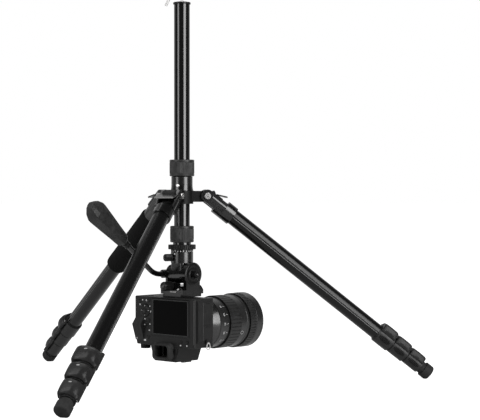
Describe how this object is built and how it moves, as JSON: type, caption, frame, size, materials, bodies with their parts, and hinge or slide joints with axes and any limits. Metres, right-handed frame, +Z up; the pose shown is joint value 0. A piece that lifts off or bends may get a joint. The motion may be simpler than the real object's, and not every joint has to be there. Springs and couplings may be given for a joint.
{
  "type": "camera on tripod",
  "caption": "Mirrorless camera with a zoom lens hung upside down under a folding flip-lever tripod, from its reversed centre column and pan-tilt head.",
  "frame": {"origin": "on the floor, under the middle of the whole object's box", "axes": "+Z up along the column, +X along the leg at the picture's right, +Y away from the front leg"},
  "size_m": [0.5904, 0.678, 0.5868],
  "materials": {
    "black_tube": "black anodised tube",
    "cast_black": "black textured paint on cast alloy",
    "lever_plastic": "moulded black plastic",
    "knob_plastic": "moulded black plastic",
    "black_rubber": "ribbed black rubber",
    "black_foam": "closed-cell foam sleeve",
    "bright_steel": "bright steel",
    "camera_shell": "fine textured black shell",
    "lens_shell": "satin black barrel",
    "screen_panel": "glossy black panel",
    "lens_glass": "coated glass"
  },
  "bodies": {
    "spider": {"spider": "cast_black", "leg_bolts": "bright_steel"},
    "column_lock": {"column_lock_collar": "black_rubber"},
    "column": {"column_tube": "black_tube"},
    "hook": {"weight_hook": "bright_steel"},
    "column_twist": {"column_twist_collar": "black_rubber"},
    "inner_column": {"inner_column": "black_tube", "pan_base": "cast_black"},
    "pan": {"pan_body": "cast_black"},
    "pan_knob": {"pan_lock_knob": "knob_plastic"},
    "tilt": {"tilt_platform": "cast_black", "handle_rod": "cast_black", "handle_grip": "black_rubber"},
    "tilt_knob": {"tilt_lock_knob": "knob_plastic"},
    "clamp_knob": {"plate_clamp_knob": "knob_plastic"},
    "camera": {"quick_release_plate": "cast_black", "camera_body": "camera_shell", "eyecup": "black_rubber", "lens_barrel": "lens_shell", "front_glass": "lens_glass", "strap_rings": "bright_steel"},
    "screen": {"screen": "screen_panel"},
    "mode_dial": {"mode_dial": "camera_shell"},
    "exposure_dial": {"exposure_dial": "camera_shell"},
    "shutter": {"shutter_button": "camera_shell"},
    "wheel": {"control_wheel": "camera_shell"},
    "buttons": {"rear_buttons": "camera_shell"},
    "zoom": {"zoom_ring": "black_rubber"},
    "focus": {"focus_ring": "black_rubber"},
    "leg_right": {"leg_top_right": "cast_black", "leg_section_1_right": "black_tube"},
    "stop_right": {"angle_stop_right": "bright_steel"},
    "lever_1_right": {"lock_lever_1_right": "lever_plastic"},
    "lever_2_right": {"lock_lever_2_right": "lever_plastic"},
    "lever_3_right": {"lock_lever_3_right": "lever_plastic"},
    "section_2_right": {"leg_section_2_right": "black_tube"},
    "section_3_right": {"leg_section_3_right": "black_tube"},
    "section_4_right": {"leg_section_4_right": "black_tube", "leg_foot_right": "black_rubber"},
    "leg_rear": {"leg_top_rear": "cast_black", "leg_section_1_rear": "black_tube", "foam_grip": "black_foam"},
    "stop_rear": {"angle_stop_rear": "bright_steel"},
    "lever_1_rear": {"lock_lever_1_rear": "lever_plastic"},
    "lever_2_rear": {"lock_lever_2_rear": "lever_plastic"},
    "lever_3_rear": {"lock_lever_3_rear": "lever_plastic"},
    "section_2_rear": {"leg_section_2_rear": "black_tube"},
    "section_3_rear": {"leg_section_3_rear": "black_tube"},
    "section_4_rear": {"leg_section_4_rear": "black_tube", "leg_foot_rear": "black_rubber"},
    "leg_front": {"leg_top_front": "cast_black", "leg_section_1_front": "black_tube"},
    "stop_front": {"angle_stop_front": "bright_steel"},
    "lever_1_front": {"lock_lever_1_front": "lever_plastic"},
    "lever_2_front": {"lock_lever_2_front": "lever_plastic"},
    "lever_3_front": {"lock_lever_3_front": "lever_plastic"},
    "section_2_front": {"leg_section_2_front": "black_tube"},
    "section_3_front": {"leg_section_3_front": "black_tube"},
    "section_4_front": {"leg_section_4_front": "black_tube", "leg_foot_front": "black_rubber"}
  },
  "joints": [
    {"name": "column_lock_turn", "type": "hinge", "parent": "spider", "child": "column_lock", "pos_m": [-0.09386, 0, 0.31049], "axis": [0, 0, 1], "range_deg": [0, 90]},
    {"name": "column_slide", "type": "slide", "parent": "spider", "child": "column", "axis": [0, 0, -1], "range_m": [-0.03, 0.225]},
    {"name": "hook_swivel", "type": "hinge", "parent": "column", "child": "hook", "pos_m": [-0.09386, 0, 0.56789], "axis": [0, 0, 1], "continuous": true},
    {"name": "column_twist_turn", "type": "hinge", "parent": "column", "child": "column_twist", "pos_m": [-0.09386, 0, 0.23619], "axis": [0, 0, 1], "range_deg": [0, 90]},
    {"name": "inner_column_slide", "type": "slide", "parent": "column", "child": "inner_column", "axis": [0, 0, -1], "range_m": [0, 0.19]},
    {"name": "pan_turn", "type": "hinge", "parent": "inner_column", "child": "pan", "pos_m": [-0.09386, 0, 0.20804], "axis": [0, 0, -1], "range_deg": [-18, 68]},
    {"name": "pan_lock_turn", "type": "hinge", "parent": "pan", "child": "pan_knob", "pos_m": [-0.09386, 0, 0.18904], "axis": [-0.9278, -0.373, 0], "range_deg": [0, 270]},
    {"name": "tilt_turn", "type": "hinge", "parent": "pan", "child": "tilt", "pos_m": [-0.09386, 0, 0.16404], "axis": [0.628, -0.7782, 0], "range_deg": [-40, 60]},
    {"name": "tilt_lock_turn", "type": "hinge", "parent": "tilt", "child": "tilt_knob", "pos_m": [-0.09386, 0, 0.16404], "axis": [0.628, -0.7782, 0], "range_deg": [0, 270]},
    {"name": "plate_clamp_turn", "type": "hinge", "parent": "tilt", "child": "clamp_knob", "pos_m": [-0.09386, 0, 0.14704], "axis": [-0.7782, -0.628, 0], "range_deg": [0, 270]},
    {"name": "plate_slide", "type": "slide", "parent": "tilt", "child": "camera", "axis": [0.7782, 0.628, 0], "range_m": [0, 0.045]},
    {"name": "screen_tilt", "type": "hinge", "parent": "camera", "child": "screen", "pos_m": [-0.11298, -0.02854, 0.12564], "axis": [-0.628, 0.7782, 0], "range_deg": [0, 90]},
    {"name": "mode_dial_turn", "type": "hinge", "parent": "camera", "child": "mode_dial", "pos_m": [-0.12585, 0.03009, 0.05774], "axis": [0, 0, -1], "continuous": true},
    {"name": "exposure_dial_turn", "type": "hinge", "parent": "camera", "child": "exposure_dial", "pos_m": [-0.14629, 0.02516, 0.05774], "axis": [0, 0, -1], "continuous": true},
    {"name": "shutter_press", "type": "slide", "parent": "camera", "child": "shutter", "axis": [0, 0, 1], "range_m": [0, 0.0015], "stiffness_N_per_m": 900},
    {"name": "control_wheel_turn", "type": "hinge", "parent": "camera", "child": "wheel", "pos_m": [-0.14791, 0.01125, 0.10924], "axis": [0.7782, 0.628, 0], "continuous": true},
    {"name": "rear_buttons_press", "type": "slide", "parent": "camera", "child": "buttons", "axis": [0.7782, 0.628, 0], "range_m": [0, 0.0007], "stiffness_N_per_m": 900},
    {"name": "zoom_turn", "type": "hinge", "parent": "camera", "child": "zoom", "pos_m": [-0.08452, 0.00754, 0.08764], "axis": [0.7782, 0.628, 0], "range_deg": [0, 75]},
    {"name": "focus_turn", "type": "hinge", "parent": "camera", "child": "focus", "pos_m": [-0.08452, 0.00754, 0.08764], "axis": [0.7782, 0.628, 0], "continuous": true},
    {"name": "leg_right_fold", "type": "hinge", "parent": "spider", "child": "leg_right", "pos_m": [-0.05686, 0, 0.28119], "axis": [0, 1, 0], "range_deg": [0, 32]},
    {"name": "stop_right_pull", "type": "slide", "parent": "leg_right", "child": "stop_right", "axis": [0.7837, 0, -0.6211], "range_m": [0, 0.006], "stiffness_N_per_m": 600},
    {"name": "section_2_right_slide", "type": "slide", "parent": "leg_right", "child": "section_2_right", "axis": [0.7837, 0, -0.6211], "range_m": [0, 0.23]},
    {"name": "section_3_right_slide", "type": "slide", "parent": "section_2_right", "child": "section_3_right", "axis": [0.7837, 0, -0.6211], "range_m": [0, 0.23]},
    {"name": "section_4_right_slide", "type": "slide", "parent": "section_3_right", "child": "section_4_right", "axis": [0.7837, 0, -0.6211], "range_m": [0, 0.23]},
    {"name": "lever_1_right_flip", "type": "hinge", "parent": "leg_right", "child": "lever_1_right", "pos_m": [0.20661, 0.01795, 0.07428], "axis": [-0.7837, 0, 0.6211], "range_deg": [0, 110]},
    {"name": "lever_2_right_flip", "type": "hinge", "parent": "section_2_right", "child": "lever_2_right", "pos_m": [0.22933, 0.01645, 0.05627], "axis": [-0.7837, 0, 0.6211], "range_deg": [0, 110]},
    {"name": "lever_3_right_flip", "type": "hinge", "parent": "section_3_right", "child": "lever_3_right", "pos_m": [0.25206, 0.01495, 0.03826], "axis": [-0.7837, 0, 0.6211], "range_deg": [0, 110]},
    {"name": "leg_rear_fold", "type": "hinge", "parent": "spider", "child": "leg_rear", "pos_m": [-0.11236, 0.03204, 0.28119], "axis": [-0.866, -0.5, 0], "range_deg": [0, 30]},
    {"name": "stop_rear_pull", "type": "slide", "parent": "leg_rear", "child": "stop_rear", "axis": [-0.3918, 0.6787, -0.6211], "range_m": [0, 0.006], "stiffness_N_per_m": 600},
    {"name": "section_2_rear_slide", "type": "slide", "parent": "leg_rear", "child": "section_2_rear", "axis": [-0.3918, 0.6787, -0.6211], "range_m": [0, 0.23]},
    {"name": "section_3_rear_slide", "type": "slide", "parent": "section_2_rear", "child": "section_3_rear", "axis": [-0.3918, 0.6787, -0.6211], "range_m": [0, 0.23]},
    {"name": "section_4_rear_slide", "type": "slide", "parent": "section_3_rear", "child": "section_4_rear", "axis": [-0.3918, 0.6787, -0.6211], "range_m": [0, 0.23]},
    {"name": "lever_1_rear_flip", "type": "hinge", "parent": "leg_rear", "child": "lever_1_rear", "pos_m": [-0.25964, 0.25124, 0.07428], "axis": [0.3918, -0.6787, 0.6211], "range_deg": [0, 110]},
    {"name": "lever_2_rear_flip", "type": "hinge", "parent": "section_2_rear", "child": "lever_2_rear", "pos_m": [-0.26971, 0.27167, 0.05627], "axis": [0.3918, -0.6787, 0.6211], "range_deg": [0, 110]},
    {"name": "lever_3_rear_flip", "type": "hinge", "parent": "section_3_rear", "child": "lever_3_rear", "pos_m": [-0.27977, 0.2921, 0.03826], "axis": [0.3918, -0.6787, 0.6211], "range_deg": [0, 110]},
    {"name": "leg_front_fold", "type": "hinge", "parent": "spider", "child": "leg_front", "pos_m": [-0.11236, -0.03204, 0.28119], "axis": [0.866, -0.5, 0], "range_deg": [0, 42]},
    {"name": "stop_front_pull", "type": "slide", "parent": "leg_front", "child": "stop_front", "axis": [-0.3918, -0.6787, -0.6211], "range_m": [0, 0.006], "stiffness_N_per_m": 600},
    {"name": "section_2_front_slide", "type": "slide", "parent": "leg_front", "child": "section_2_front", "axis": [-0.3918, -0.6787, -0.6211], "range_m": [0, 0.23]},
    {"name": "section_3_front_slide", "type": "slide", "parent": "section_2_front", "child": "section_3_front", "axis": [-0.3918, -0.6787, -0.6211], "range_m": [0, 0.23]},
    {"name": "section_4_front_slide", "type": "slide", "parent": "section_3_front", "child": "section_4_front", "axis": [-0.3918, -0.6787, -0.6211], "range_m": [0, 0.23]},
    {"name": "lever_1_front_flip", "type": "hinge", "parent": "leg_front", "child": "lever_1_front", "pos_m": [-0.22855, -0.26919, 0.07428], "axis": [0.3918, 0.6787, 0.6211], "range_deg": [0, 110]},
    {"name": "lever_2_front_flip", "type": "hinge", "parent": "section_2_front", "child": "lever_2_front", "pos_m": [-0.24121, -0.28812, 0.05627], "axis": [0.3918, 0.6787, 0.6211], "range_deg": [0, 110]},
    {"name": "lever_3_front_flip", "type": "hinge", "parent": "section_3_front", "child": "lever_3_front", "pos_m": [-0.25388, -0.30705, 0.03826], "axis": [0.3918, 0.6787, 0.6211], "range_deg": [0, 110]}
  ]
}
